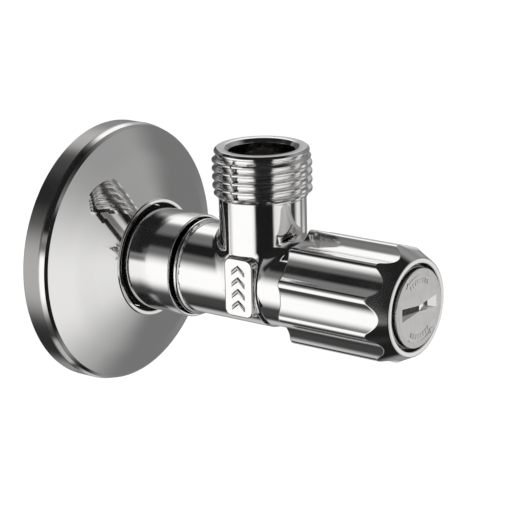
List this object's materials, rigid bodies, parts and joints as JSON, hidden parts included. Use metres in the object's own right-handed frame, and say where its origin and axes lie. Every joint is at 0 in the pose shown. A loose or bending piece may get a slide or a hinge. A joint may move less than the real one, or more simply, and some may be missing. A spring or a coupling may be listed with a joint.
{
  "type": "angle stop valve",
  "caption": "Chrome angle stop valve: wall inlet with sliding escutcheon, upright male-threaded outlet and a fluted knob that lifts the seat washer.",
  "frame": {"origin": "on the barrel's axis in the plane of the wall face that the escutcheon rests on", "axes": "+Y along the barrel into the wall, -Y towards the knob, +Z along the outlet, up"},
  "size_m": [0.0572, 0.0963, 0.0572],
  "materials": {
    "chrome": "polished chrome plate",
    "plate_chrome": "chrome plate on pressed sheet, slightly softer than the body",
    "silver_cap": "satin silver",
    "brass": "turned",
    "steel": "zinc plated",
    "rubber": "matt black",
    "seal_white": "PTFE",
    "hub_plastic": "moulded acetal"
  },
  "bodies": {
    "body": {"valve_body": "chrome", "inlet_sleeve": "chrome", "inlet_seal_ring": "seal_white", "headwork_bonnet": "brass", "bonnet_seal": "seal_white", "thrust_washer": "seal_white"},
    "knob": {"handle": "chrome", "handle_insert": "hub_plastic", "lock_washer": "steel", "handle_screw": "steel", "handle_cap": "silver_cap", "spindle": "brass", "spindle_o_ring_inner": "rubber", "spindle_o_ring_outer": "rubber", "spindle_circlip": "steel"},
    "seat_plunger": {"plunger": "brass", "plunger_o_ring": "rubber", "seat_washer": "rubber", "washer_screw": "steel"},
    "wall_plate": {"escutcheon": "plate_chrome", "escutcheon_grip_ring": "rubber"}
  },
  "joints": [
    {"name": "handle_turn", "type": "hinge", "parent": "body", "child": "knob", "pos_m": [0, -0.0677, 0], "axis": [0, -1, 0], "range_deg": [0, 900]},
    {"name": "plunger_lift", "type": "slide", "parent": "body", "child": "seat_plunger", "axis": [0, -1, 0], "range_m": [0, 0.00376]},
    {"name": "escutcheon_slide", "type": "slide", "parent": "body", "child": "wall_plate", "axis": [0, -1, 0], "range_m": [0, 0.01]}
  ],
  "couplings": [
    {"joint": "plunger_lift", "follows": "handle_turn", "m_per_rad": 0.00023873}
  ]
}
